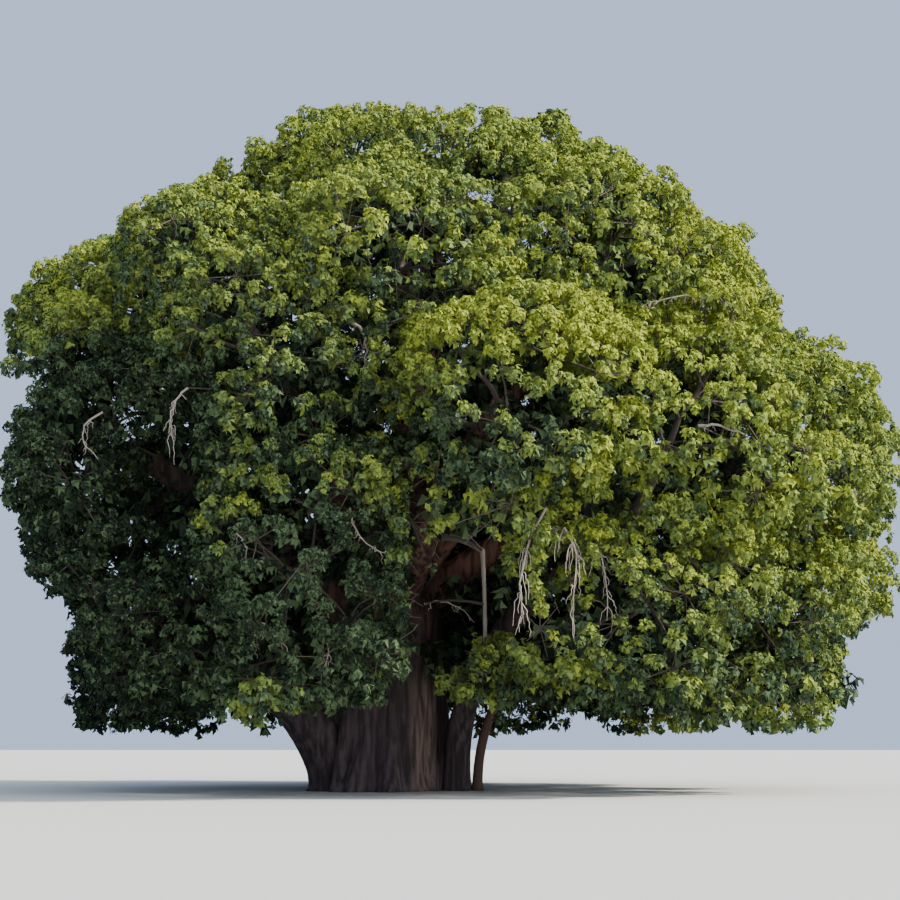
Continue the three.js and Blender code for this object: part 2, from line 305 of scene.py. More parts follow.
def bough_line(name, count):
    """A bough's line, from the leader or from ROOT_REACH out of the trunk's middle to its mass."""
    height = BOUGHS[name][0]
    target = mass_centre(mass_of(name))
    if name.startswith("bough_upper"):
        root, bend, end = (np.array(v) for v in STEMS["stem_leader"][:3])
        start = curve((height - root[2]) / (end[2] - root[2]), root, bend, end)
    else:
        start = np.array([TRUNK_X + TRUNK_LEAN * height, 0, height])
        start = start + ROOT_REACH * unit((target - start) * [1, 1, 0])
    reach = target - start
    rise = max(LEAST_RISE, BEND_UP * reach[2])
    bend = start + [BEND_OUT * reach[0], BEND_OUT * reach[1], rise]
    return bezier(start, bend, target, count)


def frames(line):
    """Two directions across a line at each of its points, which turn as little as they can."""
    along = unit(np.gradient(line, axis=0))
    side = unit(np.cross(along[0], [0.3, 0.9, 0.1]))
    sides = []
    for a in along:
        side = unit(side - a * (side @ a))
        sides.append(side)
    return np.array(sides), np.cross(along, sides)


def run_along(line):
    """The length run from the start of a line to each of its points."""
    return np.concatenate([[0], np.cumsum(np.linalg.norm(np.diff(line, axis=0), axis=1))])


def turns(sides):
    """Evenly spaced angles round a limb."""
    return np.arange(sides) * 2 * math.pi / sides


def wall(count, around):
    """Triangles between neighbouring rings of points."""
    i, j = np.meshgrid(np.arange(count - 1), np.arange(around), indexing="ij")
    k = (j + 1) % around
    a, b, c, d = i * around + j, i * around + k, (i + 1) * around + k, (i + 1) * around + j
    return np.stack([np.stack([a, b, c], -1), np.stack([a, c, d], -1)], 2).reshape(-1, 3)


def skin(rings):
    """Triangles over rings of points, closed at both ends."""
    count, around = rings.shape[:2]
    verts = np.concatenate([rings.reshape(-1, 3), rings[:1].mean(1), rings[-1:].mean(1)])
    j = np.arange(around)
    k = (j + 1) % around
    foot = np.stack([np.full(around, count * around), k, j], -1)
    last = (count - 1) * around
    head = np.stack([np.full(around, count * around + 1), last + j, last + k], -1)
    return verts, np.concatenate([wall(count, around), foot, head])


def bark_relief(spot, layers):
    """How far bark stands out: layers of noise, with height, stretch, offset and middle value."""
    lift = np.zeros(len(spot))
    for kind, height, stretch, offset, middle in layers:
        lift += height * (kind(spot * stretch + offset) - middle)
    return lift


def bark_limb(line, radii, sides, ridge, seed):
    """A limb with lengthwise ridges, swellings and wrinkles across it."""
    side, other = frames(line)
    angle = turns(sides)
    x, y = (radii[:, None] * way * RIDGES_PER_METRE for way in (np.cos(angle), np.sin(angle)))
    z = np.broadcast_to(run_along(line)[:, None] * RIDGE_STRETCH, x.shape)
    spot = np.stack([x, y, z], -1).reshape(-1, 3)
    layers = [
        (ridged, ridge, [1, 1, 1], seed, 0.6),
        (noise, ridge * 1.6, [0.35, 0.35, 0.9], seed, 0.5),
        (noise, ridge * 0.35, [1, 1, 16], seed, 0.5),
    ]
    size = radii[:, None] + bark_relief(spot, layers).reshape(len(line), sides)
    return skin(line[:, None] + size[..., None] * spun(side, other, angle))


def tubes(lines, radii, sides):
    """Many thin tubes at once: lines is (tubes, points, 3), radii is (tubes, points)."""
    along = unit(np.gradient(lines, axis=1))
    whole = unit(lines[:, -1] - lines[:, 0])
    guide = np.where(np.abs(whole[:, 2:]) < 0.8, [[0, 0, 1.0]], [[1.0, 0, 0]])
    side = unit(np.cross(along, guide[:, None]))
    around = spun(side, np.cross(along, side), turns(sides))
    rings = lines[:, :, None] + radii[:, :, None, None] * around
    tube_count, count = lines.shape[:2]
    tris = wall(count, sides)[None] + (np.arange(tube_count) * count * sides)[:, None, None]
    return rings.reshape(-1, 3), tris.reshape(-1, 3)


def add_tubes(pile, lines, thick, thin, sides):
    """Adds tubes that narrow from the start of each line to its end."""
    radii = np.linspace(thick, thin, lines.shape[1])
    pile.add(*tubes(lines, np.broadcast_to(radii, lines.shape[:2]), sides), 0)


# Materials


def plain(name, colour, roughness, gloss=0.3):
    """A material of one plain colour."""
    material = bpy.data.materials.new(name)
    material.use_nodes = True
    shader = material.node_tree.nodes["Principled BSDF"]
    shader.inputs["Base Color"].default_value = (*colour, 1)
    shader.inputs["Roughness"].default_value = roughness
    shader.inputs["Specular IOR Level"].default_value = gloss
    return material


# Bark: its colours, and where each tone fades in, from none to full: heights, depths, and
# distances beside the rib. The lit rib is painted sunlight; the dark band under the crown, the dark
# furrows and part of the boughs' darkness are painted shade
BARK_ROUGHNESS = 0.92
BARK_GLOSS = 0.2
BARK_FOOT = (0.086, 0.063, 0.072)
BARK_BOUGH_SHADED = (0.062, 0.047, 0.04)
BARK_RED = (0.29, 0.135, 0.1)
BARK_STREAK = (0.135, 0.102, 0.098)
BARK_SUNLIT_RIB = (0.245, 0.165, 0.135)
BARK_SHADED = (0.03, 0.02, 0.017)
BARK_FURROW_SHADE = (0.02, 0.015, 0.014)
BOUGH_HEIGHTS = (4.0, 7.5)
RED_WIDTHS = (4.5, 2.5)
RIB_WIDTHS = (0.45, 0.15)
RIB_DEPTHS = (-0.4, -1.2)
RIB_HEIGHTS = (5.0, 2.6)
SHADE_FROM = (1.8, 3.6)
SHADE_TO = (7.0, 5.6)


def bark_material(name):
    """Bark: grey-lilac below and redder above, with lengthwise streaks and fine wrinkles."""
    material = plain(name, BARK_FOOT, BARK_ROUGHNESS, BARK_GLOSS)
    nodes, links = material.node_tree.nodes, material.node_tree.links
    shader = nodes["Principled BSDF"]
    place = nodes.new("ShaderNodeTexCoord").outputs["Object"]

    def fill(target, value):
        if isinstance(value, tuple):
            target.default_value = (*value, 1)
        elif isinstance(value, (int, float)):
            target.default_value = value
        else:
            links.new(value, target)

    def add_node(kind, **values):
        node = nodes.new("ShaderNode" + kind)
        for socket, value in values.items():
            fill(node.inputs[socket], value)
        return node

    def noise_node(scale, stretch, detail):
        mapping = add_node("Mapping", Vector=place)
        mapping.inputs["Scale"].default_value = stretch
        stretched = mapping.outputs["Vector"]
        texture = add_node("TexNoise", Vector=stretched, Scale=scale, Detail=detail)
        return texture.outputs["Fac"]

    def mix(factor, a, b):
        node = add_node("Mix")
        node.data_type = "RGBA"
        fill(node.inputs["Factor"], factor)
        for socket, value in (("A", a), ("B", b)):
            fill(next(s for s in node.inputs if s.name == socket and s.type == "RGBA"), value)
        return next(s for s in node.outputs if s.type == "RGBA")

    def ramp(value, none_at, full_at):
        limits = {"From Min": none_at, "From Max": full_at}
        return add_node("MapRange", Value=value, **limits).outputs["Result"]

    def calc(operation, *values):
        node = add_node("Math")
        node.operation = operation
        for target, value in zip(node.inputs, values):
            fill(target, value)
        return node.outputs[0]

    split = add_node("SeparateXYZ", Vector=place)
    x, y, z = (split.outputs[axis] for axis in "XYZ")
    beside = calc("ABSOLUTE", calc("SUBTRACT", x, RIB_X))
    patches = ramp(noise_node(0.9, (1, 1, 0.6), 4), 0.35, 0.65)
    streaks = ramp(noise_node(6, (1, 1, 0.12), 6), 0.4, 0.62)
    wrinkles = noise_node(5, (1, 1, 7), 5)

    high = ramp(z, *BOUGH_HEIGHTS)
    red = calc("MULTIPLY", high, ramp(beside, *RED_WIDTHS))
    # Higher up the bark is redder near the rib and darker: the boughs' own colour, partly painted
    # shade under the crown
    colour = mix(red, mix(high, BARK_FOOT, BARK_BOUGH_SHADED), BARK_RED)
    colour = mix(patches, colour, mix(0.55, colour, BARK_STREAK))
    # Painted sunlight: the rib at the trunk's front, low down, is lighter and warmer
    rib = calc("MULTIPLY", ramp(beside, *RIB_WIDTHS), ramp(y, *RIB_DEPTHS))
    colour = mix(calc("MULTIPLY", rib, ramp(z, *RIB_HEIGHTS)), colour, BARK_SUNLIT_RIB)
    # Painted shade: the trunk darker under the crown, fading in from 1.8 to 3.6 m and out from 5.6
    # to 7 m
    shaded = calc("MULTIPLY", ramp(z, *SHADE_FROM), ramp(z, *SHADE_TO))
    colour = mix(shaded, colour, mix(0.5, colour, BARK_SHADED))
    # Painted shade in the furrows: darker where the streaks are low, as in the low parts of the bump
    colour = mix(streaks, mix(0.75, colour, BARK_FURROW_SHADE), colour)
    links.new(colour, shader.inputs["Base Color"])

    bump = add_node("Bump", Strength=0.6, Distance=0.03)
    links.new(calc("ADD", wrinkles, streaks), bump.inputs["Height"])
    links.new(bump.outputs["Normal"], shader.inputs["Normal"])
    return material


# Leaf colours from lightest to darkest: lit and shaded copies of one green, dealt out by spray as
# painted light and shade, with some tone at random
LEAF_COLOURS = [
    ("leaf_top_lit", (0.256, 0.3, 0.037)),
    ("leaf_sunny", (0.216, 0.262, 0.042)),
    ("leaf_half_lit", (0.177, 0.225, 0.047)),
    ("leaf_mid", (0.14, 0.187, 0.043)),
    ("leaf_deep", (0.104, 0.147, 0.042)),
    ("leaf_dark", (0.06, 0.092, 0.043)),
    ("leaf_inner_shade", (0.017, 0.027, 0.016)),
]
LEAF_ROUGHNESS = 0.75
LEAF_GLOSS = 0.07
leaf_looks = [plain(name, colour, LEAF_ROUGHNESS, LEAF_GLOSS) for name, colour in LEAF_COLOURS]
INNER_LOOK = len(LEAF_COLOURS) - 1
bark = bark_material("bark")
branch_look = plain("branch", (0.066, 0.051, 0.043), 0.9)
twig_look = plain("twig", (0.1, 0.082, 0.062), 0.88)
pale_look = plain("pale_bark", (0.33, 0.28, 0.24), 0.85)
slim_look = plain("slim_bark", (0.11, 0.065, 0.05), 0.9)

# Camera, light and floor

# Lights: strength, width in degrees, colour, and the direction they come from
LIGHTS = {
    "sun": (9.7, 5, (1.0, 0.93, 0.8), (0.86, -0.14, 0.60)),
    "soft_light": (3.6, 90, (0.96, 0.97, 0.94), (0.5, -0.55, 0.66)),
}
SKY_COLOUR = (0.5, 0.625, 0.85)
SKY_STRENGTH = 1.2
FLOOR_COLOUR = (0.5, 0.5, 0.48)
FLOOR_REACH = 300.0

camera_data = bpy.data.cameras.new("camera")
camera_data.sensor_width = SENSOR_MM
camera_data.lens = FOCAL_PX * SENSOR_MM / IMAGE_PX
camera_data.clip_end = VIEW_LIMIT
camera = add_object("camera", camera_data)
camera.location = CAMERA_PLACE
camera.rotation_euler = (math.radians(90) + PITCH, 0, 0)
bpy.context.scene.camera = camera

for name, (strength, width, colour, direction) in LIGHTS.items():
    light = bpy.data.lights.new(name, "SUN")
    light.energy = strength
    light.angle = math.radians(width)
    light.color = colour
    turned = Vector(direction).to_track_quat("Z", "Y").to_euler()
    add_object(name, light).rotation_euler = turned

world = bpy.data.worlds.new("world")
world.use_nodes = True
background = world.node_tree.nodes["Background"]
background.inputs["Color"].default_value = (*SKY_COLOUR, 1)
background.inputs["Strength"].default_value = SKY_STRENGTH
bpy.context.scene.world = world

floor_pile = Pile()
floor_corners = FLOOR_REACH * np.array([[-1, -1, 0], [1, -1, 0], [1, 1, 0], [-1, 1, 0.0]])
floor_pile.add(floor_corners, np.array([[0, 1, 2], [0, 2, 3]]), 0)
floor = floor_pile.mesh("floor", [plain("floor", FLOOR_COLOUR, 0.95, 0.1)], False)

# Trunk and stems


def crease(angle, at, width):
    """1 in a furrow at one angle, fading to 0 beside it."""
    apart = np.abs((angle - at + math.pi) % (2 * math.pi) - math.pi)
    return np.maximum(0, 1 - apart / width) ** 2


TRUNK_SIDES = 240
TRUNK_ROWS = 80

# The trunk's widening at the ground, its narrowing from the shoulder up to the fork, and its toes
FLARE, FLARE_HEIGHT = 0.17, 0.9
SHOULDER_HEIGHT, SHOULDER_RISE, NARROWING = 5.2, 1.8, 0.62
TOES, TOE_SIZE, TOE_HEIGHT = 9, 0.05, 0.5

# Furrows between the fused columns: bearing and half width in degrees, and depth as a share of
# the trunk's radius, from the crests of the columns at CREST
CREST = 1.035
FURROWS = [
    (-90, 19, 0.15), (-67, 12, 0.07), (-37, 13, 0.07), (-19, 11, 0.10), (-118, 13, 0.07),
    (-136, 15, 0.15), (-168, 16, 0.10), (158, 18, 0.15), (128, 14, 0.08), (103, 19, 0.15),
    (72, 14, 0.09), (45, 18, 0.15), (14, 15, 0.11),
]

# Bark relief of the trunk: kind of noise, height in metres, stretch, offset and middle value
TRUNK_LAYERS = [
    (ridged, 0.05, [1, 1, 1], 0, 0.6),
    (ridged, 0.03, [2.1, 2.1, 1.4], 7, 0.6),
    (noise, 0.10, [0.3, 0.3, 1.2], 3, 0.5),
    (noise, 0.022, [0.7, 0.7, 16], 5, 0.5),
]


def trunk_mesh():
    """The trunk's skin: a flared and furrowed column of rings, with bark relief."""
    h, a = np.meshgrid(np.linspace(0, FORK_HEIGHT, TRUNK_ROWS), turns(TRUNK_SIDES), indexing="ij")
    shoulder = np.maximum(0, h - SHOULDER_HEIGHT) / SHOULDER_RISE
    share = (1 + FLARE * np.exp(-h / FLARE_HEIGHT)) * (1 - NARROWING * shoulder**2)
    fold = np.full(h.shape, CREST)
    for n, (at, width, depth) in enumerate(FURROWS):
        wander = 0.05 * np.sin(h * 0.9 + n * 2.1) + 0.02 * np.sin(h * 2.3 + n)
        fold -= depth * crease(a, math.radians(at) + wander, math.radians(width))
    toes = TOE_SIZE * np.exp(-h / TOE_HEIGHT) * np.sin(a * TOES + 1)
    spot = np.stack([np.cos(a) * 9, np.sin(a) * 9, h * 0.45], -1).reshape(-1, 3)
    lift = bark_relief(spot, TRUNK_LAYERS).reshape(h.shape)
    grow = share * (fold + toes)
    x = TRUNK_X + TRUNK_LEAN * h + np.cos(a) * (TRUNK_HALF[0] * grow + lift)
    y = np.sin(a) * (TRUNK_HALF[1] * grow + lift)
    return skin(np.stack([x, y, h], -1))


def limb_radii(first, last, line, flare):
    """A limb's radius along its line, wider at its root."""
    flared = 1 + flare * np.exp(-run_along(line) / (1.3 * first))
    return np.linspace(first, last, len(line)) * flared


def add_limb(pile, line, first, last, flare, sides, ridge, seed, look=0, share=1):
    """Adds a limb with bark relief, cut off at the ground, and returns its line and radii."""
    radii = limb_radii(first, last, line, flare) * share
    verts, tris = bark_limb(line, radii, sides, ridge, seed)
    verts[:, 2] = np.maximum(verts[:, 2], 0)
    pile.add(verts, tris, look)
    return line, radii


# A column fused into the crease between the trunk and the second stem, and the bough that rises
# from the trunk's shoulder: root, bend and end
COLUMN = ((1.62, -0.35, 0), (1.5, -0.2, 2.5), (0.9, 0.0, 6.2))
SHOULDER_BOUGH = ((0.3, -0.5, 5.6), (1.1, -1.2, 7.3), (2.9, -2.6, 9.0))

# Sides, rows, height of the ridges and flare of the stems, and rows, sides and ridges of boughs
STEM_DETAIL = {
    "stem_leader": (36, 44, 0.05, 0.15),
    "stem_left": (72, 72, 0.05, 0.12),
    "stem_right": (44, 80, 0.03, 0.18),
}
BOUGH_ROWS = 38
BOUGH_DETAIL = (22, 0.045)
SWAY = 0.16

trunk_pile = Pile()
trunk_pile.add(*trunk_mesh(), 0)
add_limb(trunk_pile, bezier(*COLUMN, 60), 0.27, 0.3, 0.25, 28, 0.035, 50.0)
lines = {}
for n, (name, (sides, rows, ridge, flare)) in enumerate(STEM_DETAIL.items()):
    *points, first, last = STEMS[name]
    line = bezier(*points, rows)
    lines[name] = add_limb(trunk_pile, line, first, last, flare, sides, ridge, 20.0 * n)
trunk_piece = trunk_pile.mesh("trunk_and_stems", [bark], True)

bough_pile = Pile()
for n, (name, (_, radius)) in enumerate(BOUGHS.items()):
    line = bough_line(name, BOUGH_ROWS)
    run = np.linspace(0, 9, BOUGH_ROWS)
    side = unit(np.cross(line[-1] - line[0], UP))
    line = line + side * (SWAY * np.sin(run + n) * np.minimum(1, run / 3))[:, None]
    lines[name] = add_limb(bough_pile, line, radius, 0.5 * radius, 0.35, *BOUGH_DETAIL, 31.0 * n)
line = bezier(*SHOULDER_BOUGH, 30)
lines["shoulder"] = add_limb(bough_pile, line, 0.42, 0.2, 0.3, *BOUGH_DETAIL, 77.0)
bough_piece = bough_pile.mesh("boughs", [bark], True)

# The slim stem keeps its radius and has its own look, and the arching limb is thinner than its
# solids
pale_pile = Pile()
for n, name in enumerate(["stem_right_slim", "limb_hanging_upper", "limb_hanging_lower"]):
    look, share = (1, 1) if name == "stem_right_slim" else (0, 0.75)
    *points, first, last = STEMS[name]
    line = bezier(*points, 40)
    lines[name] = add_limb(pale_pile, line, first, last, 0.2, 14, 0.012, 9.0 * n, look, share)

# Where leaves can grow: the open faces of the masses

SAMPLES = 34000
CLEAR_AHEAD = 0.05
ROUNDING = 0.8
OUTER_LIMIT = -0.05

mass_nodes = sorted(n for n in frame["nodes"] if n.startswith("foliage_"))
masses = Pile()
for n, node in enumerate(mass_nodes):
    mesh = frame["nodes"][node].data
    mesh.calc_loop_triangles()
    verts = np.array([v.co for v in mesh.vertices], float)
    masses.add(verts, np.array([t.vertices for t in mesh.loop_triangles]), n)
places, faces, owners = masses.joined()
solid = BVHTree.FromPolygons(places.tolist(), faces.tolist())
corners = places[faces]
cross = np.cross(corners[:, 1] - corners[:, 0], corners[:, 2] - corners[:, 0])
area = np.linalg.norm(cross, axis=1) / 2
pick = rng.choice(len(faces), SAMPLES, p=area / area.sum())
u, v = rng.random((2, SAMPLES, 1))
over = (u + v) > 1
u, v = np.where(over, 1 - u, u), np.where(over, 1 - v, v)
spots = corners[pick, 0] * (1 - u - v) + corners[pick, 1] * u + corners[pick, 2] * v
spot_normals = unit(cross)[pick]
spot_owner = owners[pick]
ahead = [(Vector(p + 1e-4 * d), Vector(d)) for p, d in zip(spots, spot_normals)]
is_open = np.array([solid.ray_cast(*way, CLEAR_AHEAD)[0] is None for way in ahead])
shut_spots, shut_owner = spots[~is_open], spot_owner[~is_open]
spots, spot_normals, spot_owner = spots[is_open], spot_normals[is_open], spot_owner[is_open]
boxes = np.array([[tuple(corner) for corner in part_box(node)] for node in mass_nodes])
mass_middle = (boxes[:, 0] + boxes[:, 1]) / 2
mass_half = (boxes[:, 1] - boxes[:, 0]) / 2
round_normals = unit((spots - mass_middle[spot_owner]) / mass_half[spot_owner] ** 2)
spot_normals = unit(spot_normals + ROUNDING * round_normals)


def from_core(points):
    """The direction from the crown's core to each point."""
    core = np.zeros_like(points)
    core[:, 0] = CROWN_X
    core[:, 2] = np.clip(points[:, 2], CORE_LOW, CORE_HIGH)
    return unit(points - core)


hanging = spot_owner == mass_nodes.index("foliage_hanging")
outer = ((from_core(spots) * spot_normals).sum(1) > OUTER_LIMIT) | hanging

# Lobes, clumps and sprays

# Least distances between lobes, and between clumps: on outward faces, where leaves are lightest,
# on inward faces, where masses meet, and where the crown bulges
LOBE_SPACING = 2.7
CLUMP_SPACING = 0.59
DENSE_SPACING = 0.45
DENSE_SHADE = 1.3
INNER_SPACING = 1.3
SHUT_SPACING = 1.5
RAISED_SPACING = 0.9
RAISED_RELIEF = 0.45

# How deep a lobe's core lies, how its clumps sink in away from its top and on its underside, how
# much less where it is light, and the most that they sink
LOBE_DEPTH = 1.25
SINK_BY_REACH = 0.16
SINK_BELOW = 0.45
LIGHT_SINKS_LESS = 0.4
MOST_SUNK = 1.1

# The nearest y and the lowest z of the foliage
FRONT_LIMIT = -13.65
LOWEST_LEAF = 1.75

# Clumps over the creases between masses: tries, least and greatest gap, and how clear of masses
BRIDGES = (6000, 0.9, 2.6, 0.3)

# Foliage at the lower right of the big mass at the front left: middle and half sizes in pixels,
# y in metres, and the way it faces
PATCH_TRIES = 600
PATCH_PLACE = (372, 646)
PATCH_HALF = (42, 52)
PATCH_DEPTH = -8.8
PATCH_NORMAL = (0.25, -0.95, -0.1)

# The crown's bulges and hollows on the side that shows: middle and half sizes in pixels, and how
# far the foliage stands out or back, in metres
RELIEF = [
    (308, 560, 115, 152, 0.8), (530, 395, 118, 100, 1), (700, 440, 85, 95, 0.4),
    (815, 560, 75, 140, 0.3), (400, 220, 90, 55, 0.5), (200, 240, 60, 48, 0.5),
    (600, 200, 85, 60, 0.5), (60, 350, 60, 60, 0.4), (888, 672, 55, 62, -1.3),
    (20, 262, 50, 30, -0.6), (728, 205, 34, 26, -1.6), (805, 290, 30, 30, -0.8),
    (625, 125, 50, 30, -1), (125, 178, 45, 18, -1.2), (35, 615, 40, 50, -1.2),
    (150, 490, 50, 105, -1.5), (430, 285, 55, 16, -1.2), (310, 388, 70, 20, -0.9),
    (90, 425, 35, 30, -0.7), (480, 176, 55, 14, -0.7),
    (560, 500, 90, 22, -0.5), (650, 300, 60, 20, -0.5), (232, 150, 22, 24, -1),
    (395, 86, 110, 26, -0.9), (785, 266, 26, 30, -1),
    (262, 124, 22, 18, -0.8), (335, 98, 38, 18, -0.6), (545, 120, 24, 18, 0.6),
    (600, 142, 18, 16, 0.4), (672, 188, 26, 20, 0.5), (762, 246, 18, 18, -0.6),
    (802, 312, 22, 20, -0.8), (852, 350, 20, 16, -0.6), (12, 345, 22, 40, 0.3),
]

# Painted light and shade: areas of the front whose leaves are lighter or darker, and by how much
SHADES = [
    (120, 640, 150, 140, -3.8), (110, 470, 130, 150, -3.8), (320, 600, 120, 130, -2.8),
    (222, 482, 40, 46, 0.1), (330, 442, 110, 36, -1.8), (525, 332, 130, 42, 2.6),
    (480, 435, 100, 66, -1.6), (415, 288, 75, 32, -1.5), (485, 172, 60, 22, -0.9),
    (300, 360, 110, 60, -0.8), (430, 150, 170, 60, -0.1), (640, 660, 80, 70, -1.6),
    (490, 675, 62, 52, -0.9), (425, 500, 40, 30, -0.7), (700, 250, 120, 120, 1),
    (760, 470, 120, 120, 0.5), (75, 295, 60, 45, 0.7), (190, 250, 150, 80, -0.4),
    (780, 650, 100, 90, -1.3), (620, 360, 50, 40, 0.9),
]


def painted(points, rows, profile, fade_from):
    """The sum of what ellipses say at points of the front, fading out towards the back."""
    px, py = to_pixel(points)
    total = np.zeros(len(points))
    for *ellipse, amount in rows:
        total += amount * profile(in_ellipse(px, py, *ellipse))
    return total * np.clip((fade_from - points[:, 1]) / 4, 0, 1)


def relief(points):
    """How far the foliage stands out at each point of the front, in domes."""
    return painted(points, RELIEF, lambda apart: np.sqrt(np.maximum(0, 1 - apart)), 6)


def shade(points):
    """How much painted light or shade the leaves get at each point of the front, with soft edges."""
    return painted(points, SHADES, lambda apart: np.clip(1.5 - 1.5 * apart, 0, 1), 4)


outer_index = np.where(outer)[0]
lobe_index = thinned(outer_index, spots, LOBE_SPACING)
clump_index = thinned(outer_index, spots, CLUMP_SPACING)
dense_index = outer_index[shade(spots[outer_index]) > DENSE_SHADE]
clump_index = np.concatenate([clump_index, thinned(dense_index, spots, DENSE_SPACING)])
inner_clumps = thinned(np.where(~outer)[0], spots, INNER_SPACING)
lobe_top, lobe_normal, lobe_owner = (a[lobe_index] for a in (spots, spot_normals, spot_owner))
lobe_lift = rng.uniform(-0.25, 0.3, len(lobe_index))
lobe_core = lobe_top - lobe_normal * LOBE_DEPTH + UP * 0.1


def bridges(tries, shortest, longest, clearance):
    """Points on free straight lines between two masses, over the crease between them."""
    tree = tree_of(spots[outer_index], outer_index)
    found, normals, whose = [], [], []
    for i in rng.choice(outer_index, tries, replace=False):
        near = [j for _, j, gap in tree.find_range(spots[i], longest) if gap > shortest]
        near = [j for j in near if spot_owner[j] != spot_owner[i]]
        for j in near[:: max(1, len(near) // 4)]:
            way = spots[j] - spots[i]
            length = np.linalg.norm(way)
            from_here = Vector(spots[i] + 0.03 * way / length)
            if solid.ray_cast(from_here, Vector(way / length), length - 0.06)[0] is None:
                middle = (spots[i] + spots[j]) / 2
                if solid.find_nearest(Vector(middle))[3] > clearance:
                    found.append(middle)
                    normals.append(spot_normals[i] + spot_normals[j])
                    whose.append(spot_owner[i])
    return np.array(found), unit(np.array(normals)), np.array(whose)


over_creases = bridges(*BRIDGES)
kept = thin_out(over_creases[0], CLUMP_SPACING)
patch = rng.uniform(-1, 1, (PATCH_TRIES, 2))
patch = patch[(patch**2).sum(1) < 1]
patch_pixels = PATCH_PLACE + patch * PATCH_HALF
patch_place = np.array([at_pixel(px, py, PATCH_DEPTH) for px, py in patch_pixels])
patch_place[:, 1] += 0.5 * (patch**2).sum(1)
patch_place = patch_place[thin_out(patch_place, CLUMP_SPACING)]
patch_normal = np.tile(PATCH_NORMAL, (len(patch_place), 1))
patch_owner = np.full(len(patch_place), mass_nodes.index("foliage_skirt_front_left"))

on_masses = [a[clump_index] for a in (spots, spot_normals, spot_owner)]
in_patch = (patch_place, patch_normal, patch_owner)
clump_parts = zip(on_masses, (a[kept] for a in over_creases), in_patch)
clump_place, clump_normal, clump_owner = (np.concatenate(part) for part in clump_parts)
clump_lobe = nearest(clump_place, lobe_top)
clump_relief = relief(clump_place)
clump_shade = shade(clump_place)
apart = clump_place - lobe_top[clump_lobe]
apart_flat = apart - clump_normal * (apart * clump_normal).sum(1)[:, None]
reach = np.linalg.norm(apart_flat, axis=1)
below = np.maximum(0, -apart_flat[:, 2])
sink = SINK_BY_REACH * reach**2 + SINK_BELOW * below * (1 - np.abs(clump_normal[:, 2]))
sink *= 1 - LIGHT_SINKS_LESS * np.clip(clump_shade, 0, 1)
lift = 0.3 + lobe_lift[clump_lobe] - np.minimum(sink, MOST_SUNK)
lift = lift + rng.uniform(-0.08, 0.08, len(reach)) + clump_relief
clump_radius = rng.uniform(0.28, 0.38, len(reach))
clump_centre = clump_place + clump_normal * (lift - 0.35)[:, None]
clump_centre[:, 1] = np.maximum(clump_centre[:, 1], FRONT_LIMIT + 0.15 * rng.random(len(reach)))
clump_axis = unit(
    clump_normal * 0.6
    + UP * 0.6
    + unit(apart_flat) * np.minimum(reach, 1)[:, None] * 0.35
    + rng.normal(0, 0.13, clump_normal.shape)
)

inner_place = spots[inner_clumps] - spot_normals[inner_clumps] * 0.3
inner_axis = spot_normals[inner_clumps] * 0.5 + UP * 0.5 + rng.normal(0, 0.2, inner_place.shape)
inner_axis = unit(inner_axis)
shut_clumps = thin_out(shut_spots, SHUT_SPACING)
shut_place = shut_spots[shut_clumps] - from_core(shut_spots[shut_clumps]) * 0.7
shut_axis = unit(UP + rng.normal(0, 0.4, shut_place.shape))


# A clump has one spray near its axis and the others round it, tilted away. Clumps that are sunk
# deeper than RECESS have none.
SIDE_SPRAYS = 3
SIDE_TILTS = (45, 78)
TOP_TILTS = (0, 18)
RECESS = 1.0
ABOUT_A_TURN = 6.28
side_turn = 2 * math.pi / SIDE_SPRAYS
azimuth = rng.uniform(0, 2 * math.pi, (len(clump_centre), 1)) + np.arange(SIDE_SPRAYS) * side_turn
azimuth += rng.normal(0, 0.25, azimuth.shape)
tilt = np.radians(rng.uniform(*SIDE_TILTS, azimuth.shape))
tilt = np.concatenate([np.radians(rng.uniform(*TOP_TILTS, (len(tilt), 1))), tilt], 1)
azimuth = np.concatenate([rng.uniform(0, ABOUT_A_TURN, (len(tilt), 1)), azimuth], 1)
across = unit(np.cross(clump_axis, [0.2, 0.3, 0.93]))
sideways = spun(across, np.cross(clump_axis, across), azimuth) * np.sin(tilt)[..., None]
spray_axis = sideways + clump_axis[:, None] * np.cos(tilt)[..., None]
flattened = sideways + 0.75 * clump_axis[:, None] * np.cos(tilt)[..., None]
spray_place = clump_centre[:, None] + flattened * clump_radius[:, None, None]
spray_place[..., 2] -= np.maximum(0, tilt - 0.9) * 0.35 * rng.random(tilt.shape)
spray_clump = np.broadcast_to(np.arange(len(clump_centre))[:, None], tilt.shape)
visible = (spray_axis * clump_normal[:, None]).sum(-1) > OUTER_LIMIT
visible &= (sink < RECESS)[:, None]
spray_place, spray_axis, spray_clump = (a[visible] for a in (spray_place, spray_axis, spray_clump))
spray_owner = clump_owner[spray_clump]

# Small gaps where the sky shows through the crown: middle and half sizes in pixels, to which each
# kind of leaves adds its own margin
SKY_GAPS = [
    (112, 398, 0, 2), (124, 418, 1, 2), (132, 405, 0, 1), (161, 386, 0, 2), (110, 556, 0, 4),
    (116, 572, 0, 2), (131, 520, 0, 1), (172, 546, 0, 1), (270, 285, 1, 1), (293, 315, 2, 2),
    (474, 193, 5, 3), (488, 196, 4, 3), (511, 210, 3, 4), (803, 424, 0, 1), (772, 505, 1, 1),
    (868, 380, 1, 1), (887, 425, 2, 3),
]

